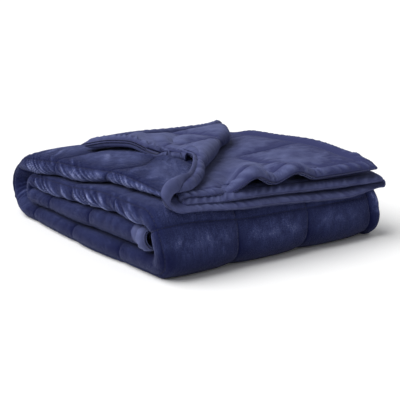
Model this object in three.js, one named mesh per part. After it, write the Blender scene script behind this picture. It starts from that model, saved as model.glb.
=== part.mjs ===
import * as THREE from 'three';

// A quilted plush blanket, folded in quarters across its width and then rolled flat along its length.
// It is one filled sheet, plush on one face and smooth lining on the other. Millimetres, +Z up.
// The open hems face +X, the folded edges face -Y, and the origin is on the surface it rests on,
// under the middle of the folded blanket.

// The sheet
const layerPitch = 10.6; // from the middle of one thickness to the next one in the bundle
const puffThickness = 9.2; // in the middle of a quilted box
const stitchThickness = 3.4; // along a row of stitching
const openSwell = 4.5; // extra height of a box on a face with nothing lying on it
const fadeLength = 60; // over which that extra height and other changes of form grow
const borderPuff = 0.8; // how far the plain border fills, against a box
const boxFullness = 0.45; // how soon a box fills beside its stitching, 1 for a plain half wave
const hemThickness = 4.6; // at the edge of the sheet
const tightSqueeze = 0.5; // share of the filling lost on the inside of a tight turn
const tightReach = 20; // how far that reaches to either side of the turn
const borderWidth = 38; // from a hem to the first row of stitching

// The bundle: four thicknesses, with a front face at -Y made of folded edges
const bundleHalf = 1.5 * layerPitch; // from the middle of the bundle to the middle of its outer thicknesses
const bundlePitch = 4 * layerPitch + 2.2; // from the middle of one bundle to the next in the roll
const frontFold = -274; // where the top thickness starts to turn around the front edge
const innerFold = -258; // where the second thickness turns back inside it
const backFold = 272; // where the bottom thickness turns back
const topHem = 292; // free side hem of the top thickness
const thirdHem = 280; // free side hem of the third thickness

// The roll, as seen from the front: C lies inside, then B over it, D on the surface and A on top
const leftTurnX = -250; // centre of the outer turn at the left
const innerTurnX = -219; // centre of the inner turn, well inside the outer one
const rightFaceX = 301; // middle of the bundle where it stands upright at the right
const shoulderRadius = 36;
const footRadius = 34;
const innerLength = 480; // run C, from its hem to the inner turn
const topLength = 520; // run A, before its hem bends over the shoulder
const hemDroop = { turn: -28, radius: 60, straight: 12 };
const hemFan = { depth: 110, near: 0.15, far: 0.55, creep: 22 }; // the hems part, most at the back
const setback = { depth: 40, reach: 230 }; // how far the front edge of A draws in towards its hem

// The corner of the top thickness, turned back along a crease that starts as a cuff on the front edge
const crease = { angle: 39, bend: -270, softness: 70 }; // leaves the end hem at this angle, past the bend
const cuff = { from: -322, to: -272 }; // where the end hem starts to turn outwards, on the front edge
const roll = { near: 9, far: 14, from: -270, to: -60, standing: 0.75 }; // radius of the turn along the crease
const gather = { near: 0.3, from: -190, to: 40 }; // how much of the flap lies out flat, along the crease
const arch = { height: 22, at: -35, width: 45 }; // where the hem of the flap lifts off the plush
const bulge = { height: 14, at: 130, width: 95 }; // where the flap stays full, towards the back
const tuck = { from: 120, share: 0.55, length: 600, fade: 150 }; // the side hem by the flap bunches forward
const creasePasses = 8; // rounds of narrowing down the nearest place on the crease
const settleLength = 90; // over which the flap comes down from its roll
const flapRest = 15.5; // from the middle of the top thickness up to the flap that lies on it

// The waves of the free hem on the third thickness
const ruffle = { height: 20, length: 126, start: -104, depth: 110 };

// How the folded edges draw in where the roll turns
const noseDent = { depth: 40, reach: 160 };

// The pile settles: lower at the left end, and a little along the front and back
const leftTaper = { drop: 0.13, from: -60, to: -320 };
const edgeTaper = 0.02;
const nearRise = { share: 0.08, from: 200, to: -200 }; // the front corner at the right stands higher
const leftLean = 0.2; // how far the top of the left turn leans in over its foot
const cornerTuck = 25; // how far the foot of the front corner at the right draws in
const halfDepth = 295;
const pressedHeight = 4.2; // whatever hangs lower than this lies flat on the surface

const rightSide = 2 * bundlePitch - shoulderRadius - footRadius;
const bundleLevel = (count) => (count + 0.5) * bundlePitch;

// Runs of the sheet across its width, from the hem of the top thickness to that of the third
const acrossRuns = [
  { name: 'top', straight: topHem - frontFold, step: 43 },
  { name: 'front edge', turn: 180, radius: bundleHalf, step: 8 },
  { name: 'bottom', straight: backFold - frontFold, step: 115 },
  { name: 'back edge', turn: 180, radius: 0.5 * layerPitch, step: 6 },
  { name: 'second', straight: backFold - innerFold, step: 115 },
  { name: 'inner edge', turn: -180, radius: 0.5 * layerPitch, step: 6 },
  { name: 'third', straight: thirdHem - innerFold, step: 43 },
];

// Runs of the bundle along its length, from the hem inside the roll to the hem on top
const alongRuns = [
  { name: 'C', straight: innerLength, step: 100 },
  { name: 'inner turn', turn: -180, radius: 0.5 * bundlePitch, step: 14, dent: 0.45 },
  { name: 'B', straight: rightFaceX - shoulderRadius - innerTurnX, step: 95 },
  { name: 'shoulder', turn: -90, radius: shoulderRadius, step: 15 },
  { name: 'right side', straight: rightSide, step: 20 },
  { name: 'foot', turn: -90, radius: footRadius, step: 18 },
  { name: 'D', straight: rightFaceX - footRadius - leftTurnX, step: 95 },
  { name: 'left turn', turn: -180, radius: 1.5 * bundlePitch, step: 30, dent: 1 },
  { name: 'A', straight: topLength, step: 40 },
  { name: 'droop', turn: hemDroop.turn, radius: hemDroop.radius, step: 10 },
  { name: 'hem', straight: hemDroop.straight, step: 6 },
];

// Rows of stitching: even boxes across the width, and along the length where they lie in the roll
const boxesAcross = 13;
const rowsAlong = [
  { run: 'C', at: 38 },
  { run: 'C', at: 215 },
  { run: 'C', at: 390 },
  { run: 'B', at: 17 },
  { run: 'B', at: 197 },
  { run: 'B', at: 382 },
  { run: 'shoulder', at: 48 },
  { run: 'D', at: 112 },
  { run: 'D', at: 292 },
  { run: 'D', at: 472 },
  { run: 'left turn', at: 150 },
  { run: 'A', at: 138 },
  { run: 'A', at: 324 },
  { run: 'A', at: topLength },
];

const radians = (degrees) => (degrees * Math.PI) / 180;
const clamp01 = (value) => Math.min(1, Math.max(0, value));
const ease = (value) => clamp01(value) ** 2 * (3 - 2 * clamp01(value));
const blend = (from, to, share) => from + (to - from) * share;
const bump = (value) => Math.exp(-value * value);

// A path of straights and round turns in a plane; it gives the place and heading at any distance
function makeTrack(runs, start, startHeading) {
  const placed = [];
  let [a, b] = start;
  let heading = radians(startHeading);
  let from = 0;
  for (const run of runs) {
    const length = run.straight ?? radians(Math.abs(run.turn)) * run.radius;
    const side = Math.sign(run.turn ?? 1);
    const place = { ...run, from, to: from + length, a, b, heading, side };
    placed.push(place);
    const end = walk(place, length);
    [a, b, heading, from] = [end.a, end.b, end.heading, from + length];
  }
  const at = (distance) => {
    const place = placed.find((run) => distance <= run.to) ?? placed.at(-1);
    return { ...walk(place, distance - place.from), run: place };
  };
  return { runs: placed, length: from, at, run: (name) => placed.find((run) => run.name === name) };
}

function walk(run, distance) {
  const { a, b, heading, side, radius } = run;
  if (run.straight !== undefined) {
    return { a: a + distance * Math.cos(heading), b: b + distance * Math.sin(heading), heading };
  }
  const turned = heading + (side * distance) / radius;
  return {
    a: a + side * radius * (Math.sin(turned) - Math.sin(heading)),
    b: b - side * radius * (Math.cos(turned) - Math.cos(heading)),
    heading: turned,
  };
}

const across = makeTrack(acrossRuns, [topHem, bundleHalf], 180);
const along = makeTrack(alongRuns, [innerTurnX + innerLength, bundleLevel(1)], 180);
const runA = along.run('A');
const topRun = across.run('top');
const shoulder = along.run('shoulder');
const footTurn = along.run('foot');
const leftTurn = along.run('left turn');
const frontEdge = across.run('front edge');
const thirdRun = across.run('third');
const onTop = (u, v) => u <= frontEdge.to && v > runA.from;

const boxWidth = (across.length - 2 * borderWidth) / boxesAcross;
const acrossRows = Array.from({ length: boxesAcross + 1 }, (_, row) => borderWidth + row * boxWidth);
const alongRows = rowsAlong.map((row) => along.run(row.run).from + row.at);

// Distance of the crease from the end hem, at c across the top thickness and on around the front edge
function creaseOffset(c) {
  const past = c - crease.bend;
  const diagonal = 0.5 * (past + Math.hypot(past, crease.softness));
  return diagonal * Math.tan(radians(crease.angle)) * ease((c - cuff.from) / (cuff.to - cuff.from));
}

// Nearest place on the crease, and how far a place of the flat cloth lies beyond it
function fromCrease(u, v) {
  const c = topHem - u;
  const a = v - along.length;
  let foot = c;
  let slope = 0;
  for (let pass = 0; pass < creasePasses; pass += 1) {
    slope = (creaseOffset(foot + 1) - creaseOffset(foot - 1)) / 2;
    foot = (c - slope * (a + creaseOffset(foot) - slope * foot)) / (1 + slope * slope);
  }
  const angle = Math.atan(slope);
  const beyond = (a + creaseOffset(foot)) * Math.cos(angle) + (c - foot) * Math.sin(angle);
  return { foot, angle, beyond };
}

// The corner is wound over a roll along the crease and laid back on the plush
function turnBack(u, v) {
  const { foot, angle, beyond } = fromCrease(u, v);
  if (beyond <= 0) {
    return { u, v, lift: 0, turned: 0 };
  }
  const grown = ease((foot - roll.from) / (roll.to - roll.from));
  const radius = blend(roll.near, roll.far, grown);
  const fullTurn = Math.PI * blend(roll.standing, 1, grown);
  const wound = Math.min(fullTurn, beyond / radius);
  const laid = Math.max(0, beyond - fullTurn * radius);
  const flat = blend(gather.near, 1, ease((foot - gather.from) / (gather.to - gather.from)));
  const out = radius * Math.sin(wound) + laid * flat * Math.cos(fullTurn);
  const rolled = radius * (1 - Math.cos(wound)) + laid * flat * Math.sin(fullTurn);
  const settle = ease(laid / settleLength) * Math.max(0, 2 * radius - flapRest);
  const archLift = arch.height * bump((foot - arch.at) / arch.width) * ease(laid / settleLength - 1);
  const bulgeLift = bulge.height * bump((foot - bulge.at) / bulge.width) * ease(laid / fadeLength);
  return {
    u: topHem - foot - out * Math.sin(angle),
    v: along.length - creaseOffset(foot) + out * Math.cos(angle),
    lift: rolled + archLift + bulgeLift - settle,
    turned: wound / Math.PI,
  };
}

// The free hem of the third thickness stands up in waves
function ruffled(point) {
  const fromHem = along.length - point.v;
  const swell = ease(1 - fromHem / ruffle.depth) * ease((point.y - ruffle.start) / fadeLength);
  const wave = 0.5 - 0.5 * Math.cos((2 * Math.PI * (point.y - ruffle.start)) / ruffle.length);
  return { ...point, n: point.n + ruffle.height * swell * wave };
}

// Middle of the sheet at u across its width and v along its length
function middle(u, v) {
  const flap = onTop(u, v) ? turnBack(u, v) : { u, v, lift: 0 };
  const section = across.at(flap.u);
  const besideFlap = tuck.share * ease((flap.v - along.length + tuck.length) / tuck.fade);
  const bunched = section.run === topRun ? besideFlap * Math.max(0, section.a - tuck.from) : 0;
  const open = ease(1 - (along.length - flap.v) / hemFan.depth);
  const backShare = ease((section.a - frontFold) / (backFold - frontFold));
  const spread = open * blend(hemFan.near, hemFan.far, backShare);
  let point = {
    v: flap.v - (hemFan.creep * open * section.b) / bundleHalf,
    y: section.a + flap.lift * Math.sin(section.heading) - bunched,
    n: section.b + spread * (section.b + bundleHalf) - flap.lift * Math.cos(section.heading),
  };
  if (section.run === thirdRun) {
    point = ruffled(point);
  }
  const centre = along.at(point.v);
  const bend = centre.run;
  const progress = (point.v - bend.from) / (bend.to - bend.from);
  const draw = (bend.dent ?? 0) * noseDent.depth * Math.sin(Math.PI * progress) ** 2;
  const hollow = clamp01(0.5 - point.n / (2 * bundleHalf));
  const nearNose = ease(1 - (point.y - frontFold) / noseDent.reach);
  const x = centre.a - point.n * Math.sin(centre.heading);
  const towardsHem = ease((point.v - runA.from) / topLength);
  const drawnIn = setback.depth * towardsHem * ease(1 - (point.y - frontFold) / setback.reach);
  const y = point.y + draw * hollow * nearNose + drawnIn;
  const z = centre.b + point.n * Math.cos(centre.heading);
  return settled(x, y, z);
}

// The pile under its own weight
function settled(x, y, z) {
  const left = ease((leftTaper.from - x) / (leftTaper.from - leftTaper.to));
  const near = ease((nearRise.from - y) / (nearRise.from - nearRise.to)) * ease(x / rightFaceX);
  const sunk = (1 - leftTaper.drop * left) * (1 - edgeTaper * (y / halfDepth) ** 2);
  const height = z * sunk * (1 + nearRise.share * near);
  const tucked = cornerTuck * ease(x / rightFaceX) * ease(1 - z / bundleLevel(2)) * ease(-y / halfDepth);
  return new THREE.Vector3(x + left * leftLean * (z - bundleLevel(1)), y + tucked, height);
}

// Filled height of the sheet between two rows of stitching, 0 on a row and 1 midway
function fill(distance, rows, length) {
  const first = rows[0];
  const last = rows.at(-1);
  if (distance <= first || distance >= last) {
    const edge = Math.min(distance, length - distance) / borderWidth;
    return borderPuff * Math.sqrt(Math.max(0, Math.sin(Math.PI * clamp01(edge))));
  }
  const next = rows.findIndex((row) => row >= distance);
  const share = (distance - rows[next - 1]) / (rows[next] - rows[next - 1]);
  return Math.max(0, Math.sin(Math.PI * share)) ** boxFullness;
}

// How far a face lies open, 0 where another thickness lies on it
function openness(u, v, side) {
  if (side < 0) {
    const place = across.at(u);
    const third = place.run === thirdRun && v > runA.from;
    if (third) {
      return ease(fromCrease(topHem - place.a, v).beyond / fadeLength);
    }
    return onTop(u, v) ? turnBack(u, v).turned : 0;
  }
  const rightFace = Math.sin(Math.PI * clamp01((v - shoulder.from) / (footTurn.to - shoulder.from)));
  const plain = onTop(u, v) ? 1 - ease(1 + fromCrease(u, v).beyond / fadeLength) : 1;
  const outside = plain * Math.max(rightFace, ease((v - leftTurn.from) / fadeLength));
  if (u <= topRun.to) {
    return outside;
  }
  const round = (Math.PI * (u - frontEdge.from)) / (frontEdge.to - frontEdge.from);
  return round < Math.PI / 2 ? blend(outside, 1, Math.sin(round)) : Math.sin(Math.min(Math.PI, round));
}

// The filling is squeezed on the inside of the tightest turns
function pinch(u, v, side) {
  const tight = side > 0 ? across.run('inner edge') : across.run('back edge');
  const fold = bump((u - (tight.from + tight.to) / 2) / tightReach);
  const coil = along.run('inner turn');
  const inside = side > 0 && u > (frontEdge.from + frontEdge.to) / 2 && u < across.run('second').from;
  const round = inside ? Math.sin(Math.PI * clamp01((v - coil.from) / (coil.to - coil.from))) : 0;
  return tightSqueeze * Math.max(fold, round);
}

// Distance of a face from the middle of the sheet
function halfThickness(u, v, side) {
  if (u === 0 || v === 0 || u === across.length || v === along.length) {
    return hemThickness / 2;
  }
  const filled = fill(u, acrossRows, across.length) * fill(v, alongRows, along.length);
  const swell = openSwell * filled * openness(u, v, side);
  return (1 - pinch(u, v, side)) * (blend(stitchThickness, puffThickness, filled) / 2 + swell);
}

// A point on the plush face (side 1) or on the lining (side -1)
function facePoint(u, v, side) {
  const reach = 0.4;
  const alongU = middle(u + reach, v).sub(middle(u - reach, v));
  const alongV = middle(u, v + reach).sub(middle(u, v - reach));
  const normal = alongU.cross(alongV).normalize();
  return middle(u, v).addScaledVector(normal, side * halfThickness(u, v, side));
}

// Lines of the grid: every end of a run, every row of stitching, and even steps between them
function gridLines(track, rows) {
  const lines = [0];
  for (const run of track.runs) {
    const stops = [...rows.filter((row) => row > run.from + 1 && row < run.to - 1), run.to];
    for (const stop of stops) {
      const from = lines.at(-1);
      const parts = Math.max(1, Math.round((stop - from) / run.step));
      for (let part = 1; part < parts; part += 1) {
        lines.push(blend(from, stop, part / parts));
      }
      lines.push(stop);
    }
  }
  return lines;
}

function makeSheet() {
  const us = gridLines(across, acrossRows);
  const vs = gridLines(along, alongRows);
  const points = [];
  for (const side of [1, -1]) {
    for (const v of vs) {
      for (const u of us) {
        points.push(facePoint(u, v, side));
      }
    }
  }
  const lowest = Math.min(...points.map((point) => point.z));
  for (const point of points) {
    point.z = point.z - lowest < pressedHeight ? 0 : point.z - lowest;
  }

  const index = [];
  const width = us.length;
  const liningStart = width * vs.length;
  const quad = (p, q, r, s) => index.push(p, q, r, p, r, s);
  for (let row = 0; row < vs.length - 1; row += 1) {
    for (let column = 0; column < width - 1; column += 1) {
      const corner = row * width + column;
      const lining = liningStart + corner;
      quad(corner, corner + 1, corner + width + 1, corner + width);
      quad(lining + width + 1, lining + 1, lining, lining + width);
    }
  }
  const rim = [];
  for (let column = 0; column < width - 1; column += 1) {
    rim.push(column);
  }
  for (let row = 0; row < vs.length - 1; row += 1) {
    rim.push(row * width + width - 1);
  }
  for (let column = width - 1; column > 0; column -= 1) {
    rim.push((vs.length - 1) * width + column);
  }
  for (let row = vs.length - 1; row > 0; row -= 1) {
    rim.push(row * width);
  }
  rim.forEach((corner, place) => {
    const next = rim[(place + 1) % rim.length];
    quad(corner, liningStart + corner, liningStart + next, next);
  });

  const geometry = new THREE.BufferGeometry().setFromPoints(points);
  geometry.setIndex(index);
  geometry.computeBoundingBox();
  const centre = geometry.boundingBox.getCenter(new THREE.Vector3());
  geometry.translate(-centre.x, -centre.y, 0);
  geometry.computeVertexNormals();
  return geometry;
}

const plush = new THREE.MeshStandardMaterial({ color: '#2c3060', roughness: 0.95, metalness: 0 });
const blanket = new THREE.Mesh(makeSheet(), plush);
blanket.name = 'blanket';

const part = new THREE.Group();
part.add(blanket);

export default part;
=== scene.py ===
import math

import bpy
import numpy as np
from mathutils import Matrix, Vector


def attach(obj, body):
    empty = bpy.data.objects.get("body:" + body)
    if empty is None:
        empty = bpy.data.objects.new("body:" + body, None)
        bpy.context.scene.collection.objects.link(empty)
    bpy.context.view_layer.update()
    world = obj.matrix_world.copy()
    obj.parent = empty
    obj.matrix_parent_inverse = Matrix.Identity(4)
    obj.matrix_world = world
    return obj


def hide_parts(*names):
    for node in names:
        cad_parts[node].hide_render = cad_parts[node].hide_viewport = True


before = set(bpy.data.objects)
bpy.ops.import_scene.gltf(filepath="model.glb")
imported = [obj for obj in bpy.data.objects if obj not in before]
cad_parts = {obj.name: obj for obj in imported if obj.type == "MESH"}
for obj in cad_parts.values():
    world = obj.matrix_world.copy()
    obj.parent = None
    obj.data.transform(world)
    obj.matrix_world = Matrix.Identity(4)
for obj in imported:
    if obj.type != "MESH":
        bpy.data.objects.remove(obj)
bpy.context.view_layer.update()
scene = bpy.context.scene
mm = 0.001
print("frame loaded")


# small helpers


# from 0 to 1 with soft ends
def ease(t):
    t = np.clip(t, 0, 1)
    return t * t * (3 - 2 * t)


def blend(a, b, t):
    return a + (b - a) * t


def bump(t):
    return np.exp(-t * t)


# grows from 0 with a soft bend at 0
def bent(t, softness):
    return 0.5 * (t + np.hypot(t, softness))


# smooth noise from 0 to 1, one cell to a unit
def cloudy(x, y, seed):
    cells = 64
    table = np.random.default_rng(seed).random((cells, cells))
    ix, iy = np.floor(x).astype(int), np.floor(y).astype(int)
    fx, fy = ease(x - ix), ease(y - iy)

    def at(i, j):
        return table[(iy + j) % cells, (ix + i) % cells]

    return blend(blend(at(0, 0), at(1, 0), fx), blend(at(0, 1), at(1, 1), fx), fy)


# a soft rise with its height, middle and size
def hump(a, b, shape):
    (aMiddle, bMiddle), (aSize, bSize) = shape["at"], shape["size"]
    return shape["height"] * bump((a - aMiddle) / aSize) * bump((b - bMiddle) / bSize)


# 1 in a run of the sheet, fading out past its ends
def within(s, run, past, fade):
    return ease((s - run["begin"] + past) / fade) * ease((run["end"] + past - s) / fade)


# The sheet in its folds, in millimetres: u runs across the width, v along the length.
# It is folded in quarters across the width, then rolled flat along the length.

sheet = dict(
    pitch=10.6,  # from one thickness to the next
    puff=9.2,  # thickness of a box that is covered
    stitched=2.6,  # thickness in a row of stitching
    openSwell=8.6,  # how far the face of an open box swells
    crownShare=0.3,
    fullness=0.3,
    reliefPower=0.4,
    thinnest=0.8,
    fade=60,
    squeeze=0.5,  # on the inside of the tightest turns
    squeezeReach=20,
    mostSqueeze=0.75,
    border=26,  # from the edge to the stitching of the hem
    boxes=12,
)
hemEdge = dict(
    thickness=4.6,  # at the very edge
    roll=4.6,
    openRoll=8.5,
    flapRoll=0.5,
    lean=0.75,
    roundness=0.6,
    endOpen=0.25,
    endReach=50,
    endGather=0.45,
    endGatherReach=60,
)
taper = dict(share=0.72, foldWidth=60, foldDepth=70, corner=42, flapCorner=20)
bundle = dict(half=15.9, pitch=44.6, front=-274, inner=-258, back=272, topHem=292, thirdHem=280)
pile = dict(
    leftX=-250,
    innerX=-219,
    rightX=301,
    shoulder=36,
    foot=34,
    innerLength=480,
    topLength=520,
    droopAngle=28,
    droopRadius=60,
    hemLength=12,
    dent=40,
    dentReach=160,
    leftDrop=0.13,
    leftFrom=-60,
    leftTo=-320,
    leftLean=0.2,
    leanAbout=66.9,
    leftBulge=13,
    bulgeAt=95,
    bulgeHeight=60,
    edgeDrop=0.02,
    nearRise=0.08,
    nearFrom=200,
    nearFade=400,
    cornerTuck=25,
    tuckHeight=111.5,
    cornerRise=16,
    cornerFrom=-60,
    cornerFade=220,
    midRise=7,
    midAt=60,
    midWidth=100,
    plumpFrom=-60,
    plumpFade=180,
    plumpHeight=120,
    plumpTop=140,
    plumpTopFade=60,
    halfDepth=295,
    pressedTo=1.47,
    pressedFade=5.88,
    centreX=-7.7,
    centreY=-6.1,
)
# the end hems, which open towards the right
hems = dict(
    depth=110,
    near=0.15,
    far=0.3,
    creep=22,
    setback=40,
    setbackReach=230,
    tip=(8, 24, 2),
    tipWidth=80,
    tipDepth=80,
    tipFlat=0.85,
    tipTurn=15,
    thirdTip=7,
    backFrom=150,
    backFade=120,
    recede=15,
    recedeAt=15,
    recedeReach=60,
    sag=14,
    sagFrom=-60,
    sagFade=330,
    sagDepth=160,
    press=0.7,
    pressThin=0.8,
    pressFrom=-70,
    pressReach=130,
    pressLength=230,
    pressFade=180,
)
# the crease of the turned-back corner, on the cloth and as it lies over the hems
creaseLine = dict(
    root=-324,
    rootSoft=6,
    firstSlope=1.0,
    knee=-255,
    kneeSoft=40,
    bend=-80,
    bendSoft=40,
    slope=1.3,
    searches=8,
)
creaseRest = dict(edge=3, bend=-228, bendSoft=30, slope=1.05, end=80, endSoft=60, ease=0.38)
flap = dict(
    slipFade=30,
    slipReach=420,
    slipStart=150,
    rollNear=11,
    rollFar=12.5,
    rollFrom=-255,
    rollTo=-170,
    standing=0.95,
    gather=0.15,
    gatherFrom=-110,
    gatherTo=-50,
    cuff=0.55,
    cuffFrom=-210,
    cuffFade=30,
    settle=90,
    rest=20,
    droop=10,
    droopReach=110,
    rise=11,
    riseFrom=110,
    riseFade=160,
    archHeight=21,
    archAt=-50,
    archWidth=58,
    foldFade=30,
    tuckFrom=120,
    tuckShare=0.55,
    tuckLength=600,
    tuckFade=150,
    hemOpen=0.9,
    hemWidth=64,
    hemFade=40,
    hemFrom=-90,
    hemGrow=50,
    smooth=0.85,
    smoothFrom=-55,
    smoothFade=40,
    cornerSmooth=0.7,
    cornerReach=110,
    underFade=20,
)
ruffle = dict(height=16, length=110, start=-104, waves=2, depth=110)
folds = [
    dict(begin=(545, -125), end=(440, -15), height=-14, width=20),
    dict(begin=(560, -75), end=(430, 40), height=10, width=22),
    dict(begin=(555, 40), end=(400, 95), height=8, width=24),
    dict(begin=(470, 120), end=(380, 200), height=4, width=30),
]
flapFolds = [
    dict(begin=(-70, -45), end=(20, -75), height=6, width=7),
    dict(begin=(-60, -55), end=(70, -130), height=-7, width=9),
    dict(begin=(-65, -75), end=(40, -160), height=7, width=10),
    dict(begin=(10, -30), end=(110, -60), height=6, width=9),
    dict(begin=(60, -70), end=(190, -150), height=8, width=14),
    dict(begin=(120, -120), end=(240, -260), height=-7, width=16),
    dict(begin=(170, -40), end=(250, -150), height=7, width=14),
]
foldEnds = dict(fadeIn=4, fadeOut=3)  # a fold dies out before its beginning and towards its end
pillow = dict(height=17, at=(35, -95), size=(115, 65), fade=35)
loft = dict(height=17, at=(380, 290), size=(140, 110))


# step is the mesh spacing where a run shows, hidden its spacing where it is folded away
def straight(name, length, step, hidden=None):
    return dict(name=name, length=length, curve=0, step=step, hidden=hidden or step, dent=0)


def turn(name, degrees, radius, step, hidden=None, dent=0):
    length = math.radians(abs(degrees)) * radius
    curve = math.copysign(1 / radius, degrees)
    return dict(name=name, length=length, curve=curve, step=step, hidden=hidden or step, dent=dent)


# lays the runs end to end in a plane
def makeTrack(runs, a, b, heading):
    begin = 0
    for run in runs:
        run.update(begin=begin, end=begin + run["length"], a=a, b=b, heading=heading)
        begin = run["end"]
        turned = heading + run["curve"] * run["length"]
        if run["curve"]:
            a += (math.sin(turned) - math.sin(heading)) / run["curve"]
            b -= (math.cos(turned) - math.cos(heading)) / run["curve"]
        else:
            a += run["length"] * math.cos(heading)
            b += run["length"] * math.sin(heading)
        heading = turned
    keys = ("begin", "end", "a", "b", "heading", "curve", "dent")
    return dict(
        runs={run["name"]: run for run in runs},
        columns={key: np.array([run[key] for run in runs], float) for key in keys},
        length=begin,
    )


# place, heading and number of the run at a distance along a track
def along(track, s):
    columns = track["columns"]
    index = np.searchsorted(columns["end"][:-1], s)
    begin, a, b, heading, curve = (columns[key][index] for key in ("begin", "a", "b", "heading", "curve"))
    d = s - begin
    turned = heading + curve * d
    flat = curve == 0
    safe = np.where(flat, 1, curve)
    a = a + np.where(flat, d * np.cos(heading), (np.sin(turned) - np.sin(heading)) / safe)
    b = b + np.where(flat, d * np.sin(heading), (np.cos(heading) - np.cos(turned)) / safe)
    return a, b, turned, index


widthTrack = makeTrack(
    [
        straight("top", bundle["topHem"] - bundle["front"], step=2.6, hidden=42),
        turn("front edge", 180, bundle["half"], step=2.6, hidden=8),
        straight("bottom", bundle["back"] - bundle["front"], step=4, hidden=48),
        turn("back edge", 180, 0.5 * sheet["pitch"], step=3.4),
        straight("second", bundle["back"] - bundle["inner"], step=4, hidden=48),
        turn("inner edge", -180, 0.5 * sheet["pitch"], step=3.4),
        straight("third", bundle["thirdHem"] - bundle["inner"], step=3.2, hidden=42),
    ],
    a=bundle["topHem"],
    b=bundle["half"],
    heading=math.pi,
)
# from the innermost bundle, C, out to the top one, A
rightSide = 2 * bundle["pitch"] - pile["shoulder"] - pile["foot"]
lengthTrack = makeTrack(
    [
        straight("C", pile["innerLength"], step=6),
        turn("inner turn", -180, 0.5 * bundle["pitch"], step=5, dent=0.45),
        straight("B", pile["rightX"] - pile["shoulder"] - pile["innerX"], step=3.9),
        turn("shoulder", -90, pile["shoulder"], step=4),
        straight("right side", rightSide, step=4),
        turn("foot", -90, pile["foot"], step=4.5),
        straight("D", pile["rightX"] - pile["foot"] - pile["leftX"], step=7),
        turn("left turn", -180, 1.5 * bundle["pitch"], step=4.8, dent=1),
        straight("A", pile["topLength"], step=2.75),
        turn("droop", -pile["droopAngle"], pile["droopRadius"], step=2.8),
        straight("hem", pile["hemLength"], step=2.4),
    ],
    a=pile["innerX"] + pile["innerLength"],
    b=1.5 * bundle["pitch"],
    heading=math.pi,
)
wide, long = widthTrack["length"], lengthTrack["length"]
acrossRuns, alongRuns = widthTrack["runs"], lengthTrack["runs"]
topNumber, thirdNumber = (list(acrossRuns).index(name) for name in ("top", "third"))
top, frontEdge, bottom, backEdge = (acrossRuns[name] for name in ("top", "front edge", "bottom", "back edge"))
second, third = acrossRuns["second"], acrossRuns["third"]
runA, shoulder, footTurn, leftTurn = (alongRuns[name] for name in ("A", "shoulder", "foot", "left turn"))

# rows of stitching, those across the length by their places in the runs
boxWidth = (wide - 2 * sheet["border"]) / sheet["boxes"]
acrossRows = sheet["border"] + boxWidth * np.arange(sheet["boxes"] + 1)
rowTable = [
    ("C", (24, 210, 390)),
    ("B", (17, 197, 382)),
    ("shoulder", (41,)),
    ("D", (112, 292, 472)),
    ("left turn", (150,)),
    ("A", (138, 324)),
]
alongRows = [alongRuns[name]["begin"] + at for name, places in rowTable for at in places]
alongRows = np.array(alongRows + [long - sheet["border"]])


# distance of the crease from the end hem, on the cloth
def creaseOffset(c):
    started = bent(c - creaseLine["root"], creaseLine["rootSoft"])
    band = creaseLine["firstSlope"] * (started - bent(c - creaseLine["knee"], creaseLine["kneeSoft"]))
    return band + creaseLine["slope"] * bent(c - creaseLine["bend"], creaseLine["bendSoft"])


# distance of the crease from the hems under it, where it lies
def creasePlace(c):
    place = creaseRest["edge"] + creaseRest["slope"] * bent(c - creaseRest["bend"], creaseRest["bendSoft"])
    return place - creaseRest["ease"] * bent(c - creaseRest["end"], creaseRest["endSoft"])


# nearest place on the crease, its slope there, and the distance beyond it
def fromCrease(u, v):
    c, a = bundle["topHem"] - u, v - long
    foot = c
    for _ in range(creaseLine["searches"]):
        slope = (creaseOffset(foot + 1) - creaseOffset(foot - 1)) / 2
        foot = (c - slope * (a + creaseOffset(foot) - slope * foot)) / (1 + slope * slope)
    angle = np.arctan(slope)
    beyond = (a + creaseOffset(foot)) * np.cos(angle) + (c - foot) * np.sin(angle)
    return foot, angle, beyond


def onTop(u, v):
    return (u <= frontEdge["end"]) & (v > runA["begin"])


# ridges and hollows along short lines, a and b being their places along and across
def softFolds(a, b, lines):
    total = 0
    for fold in lines:
        (a0, b0), (a1, b1) = fold["begin"], fold["end"]
        reach = math.hypot(a1 - a0, b1 - b0)
        way = ((a - a0) * (a1 - a0) + (b - b0) * (b1 - b0)) / reach**2
        off = ((a - a0) * (b1 - b0) - (b - b0) * (a1 - a0)) / reach
        ends = ease(way * foldEnds["fadeIn"] + 1) * ease((1 - way) * foldEnds["fadeOut"])
        total = total + fold["height"] * bump(off / fold["width"]) * ends
    return total


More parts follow.
